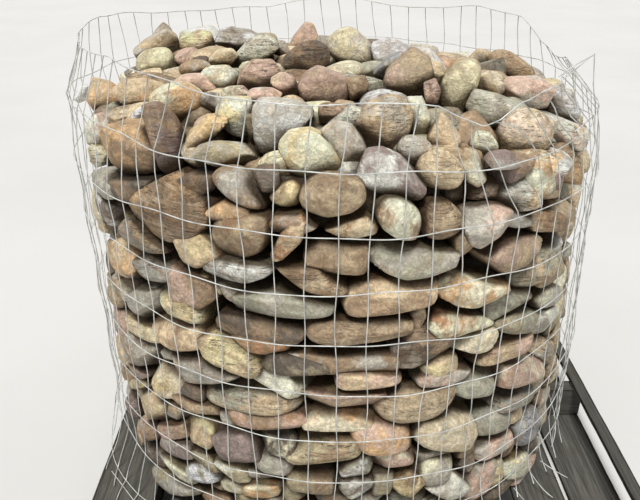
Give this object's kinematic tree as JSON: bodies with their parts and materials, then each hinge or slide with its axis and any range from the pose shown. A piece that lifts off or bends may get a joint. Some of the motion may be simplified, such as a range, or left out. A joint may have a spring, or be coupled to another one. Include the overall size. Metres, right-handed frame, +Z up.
{
  "type": "round gabion basket on a pallet",
  "caption": "Free-standing round gabion: a welded wire mesh cylinder filled with river cobbles, heaped at the top, standing on a timber pallet.",
  "frame": {"origin": "middle of the pallet's footprint, on the ground", "axes": "+Z up, -Y to the front, towards the picture's viewer, +X to the viewer's right, deck boards along Y"},
  "size_m": [1.2389, 1.219, 1.0359],
  "materials": {
    "galvanised_wire": "dull zinc with some rust",
    "river_stone": "water-worn, matt",
    "weathered_timber": "grey, weathered, rough sawn"
  },
  "bodies": {
    "root": {"base_board_left": "weathered_timber", "base_board_middle": "weathered_timber", "base_board_right": "weathered_timber", "cobble_course_1": "river_stone", "cobble_course_2": "river_stone", "cobble_course_3": "river_stone", "cobble_course_4": "river_stone", "cobble_course_5": "river_stone", "cobble_course_6": "river_stone", "cobble_course_7": "river_stone", "cobble_course_8": "river_stone", "crown_stones": "river_stone", "deck_board_1": "weathered_timber", "deck_board_2": "weathered_timber", "deck_board_3": "weathered_timber", "deck_board_4": "weathered_timber", "deck_board_5": "weathered_timber", "deck_board_6": "weathered_timber", "deck_board_lead": "weathered_timber", "deck_edge_strip": "weathered_timber", "heap_course_1": "river_stone", "heap_course_2": "river_stone", "heap_course_3": "river_stone", "mesh_panel_1": "galvanised_wire", "mesh_panel_10": "galvanised_wire", "mesh_panel_2": "galvanised_wire", "mesh_panel_3": "galvanised_wire", "mesh_panel_4": "galvanised_wire", "mesh_panel_5": "galvanised_wire", "mesh_panel_6": "galvanised_wire", "mesh_panel_7": "galvanised_wire", "mesh_panel_8": "galvanised_wire", "mesh_panel_9": "galvanised_wire", "stringer_back": "weathered_timber", "stringer_front": "weathered_timber", "stringer_middle": "weathered_timber"}
  },
  "joints": []
}
